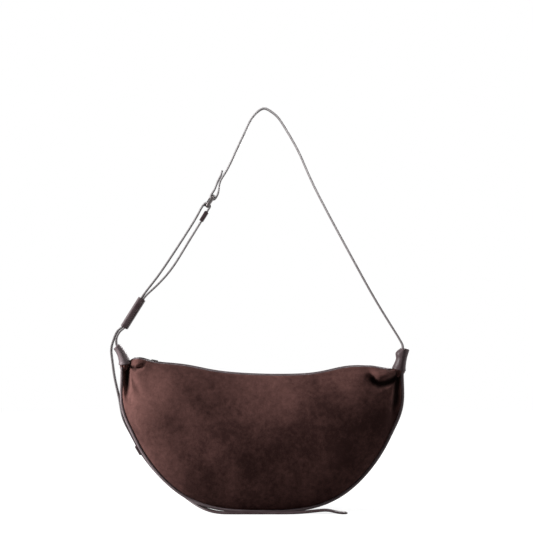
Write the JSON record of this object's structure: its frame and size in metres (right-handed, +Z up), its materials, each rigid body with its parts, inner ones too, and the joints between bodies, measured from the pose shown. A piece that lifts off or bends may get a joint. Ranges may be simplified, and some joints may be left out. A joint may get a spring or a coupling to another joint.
{
  "type": "half moon bag",
  "caption": "Half moon shoulder bag with suede panels, leather gusset and piping, a zip along its curved top, and a flat buckled strap with a spare tail.",
  "frame": {"origin": "on the floor under the middle of the whole bag with its strap", "axes": "+X along the bag towards the plain end of the strap, +Y from the front to the back, +Z up"},
  "size_m": [0.4031, 0.1004, 0.5455],
  "materials": {
    "suede": "napped suede",
    "leather": "smooth, soft gloss",
    "lining": "plain weave",
    "zip_tape": "woven tape",
    "metal": "dark nickel"
  },
  "bodies": {
    "bag": {"front_panel": "suede", "back_panel": "suede", "left_gather": "suede", "right_gather": "suede", "gusset": "leather", "front_piping": "leather", "back_piping": "leather", "front_top_binding": "leather", "back_top_binding": "leather", "left_zip_end": "leather", "right_zip_end": "leather", "left_corner_tab": "leather", "right_corner_tab": "leather", "left_strap_root": "leather", "right_strap_root": "leather", "strap_tail": "leather", "tail_keeper": "leather", "left_strap_bend": "leather", "right_strap_bend": "leather", "tail_bend": "leather", "front_lining": "lining", "back_lining": "lining", "gusset_lining": "lining", "inner_pocket": "lining", "front_zip_tape": "zip_tape", "back_zip_tape": "zip_tape", "front_zip_teeth": "metal", "back_zip_teeth": "metal", "zip_stops": "metal"},
    "strap": {"lower_strap": "leather", "upper_strap": "leather", "buckle_frame": "metal", "buckle_keeper": "leather"},
    "prong": {"buckle_prong": "metal"},
    "sleeve": {"strap_sleeve": "leather"},
    "slider": {"zip_slider": "metal"},
    "pull": {"zip_pull_link": "metal", "zip_pull_tab": "leather"}
  },
  "joints": [
    {"name": "strap_swing", "type": "hinge", "parent": "bag", "child": "strap", "pos_m": [-0.19312, 0, 0.22328], "axis": [1, 0, -0.0052], "range_deg": [-115, 115], "deforming": ["left_strap_bend", "right_strap_bend", "tail_bend"]},
    {"name": "sleeve_slide", "type": "slide", "parent": "strap", "child": "sleeve", "axis": [0.5304, 0, 0.8478], "range_m": [0, 0.006]},
    {"name": "prong_hinge", "type": "hinge", "parent": "strap", "child": "prong", "pos_m": [-0.06159, 0, 0.42409], "axis": [0, 1, 0], "range_deg": [0, 85]},
    {"name": "zip_slide", "type": "hinge", "parent": "bag", "child": "slider", "pos_m": [0.03, 0, 1.0795], "axis": [0, -1, 0], "range_deg": [0, 18], "deforming": ["front_zip_teeth", "back_zip_teeth"]},
    {"name": "zip_pull", "type": "hinge", "parent": "slider", "child": "pull", "pos_m": [-0.14347, 0, 0.20004], "axis": [0, 1, 0], "range_deg": [0, 155]}
  ]
}
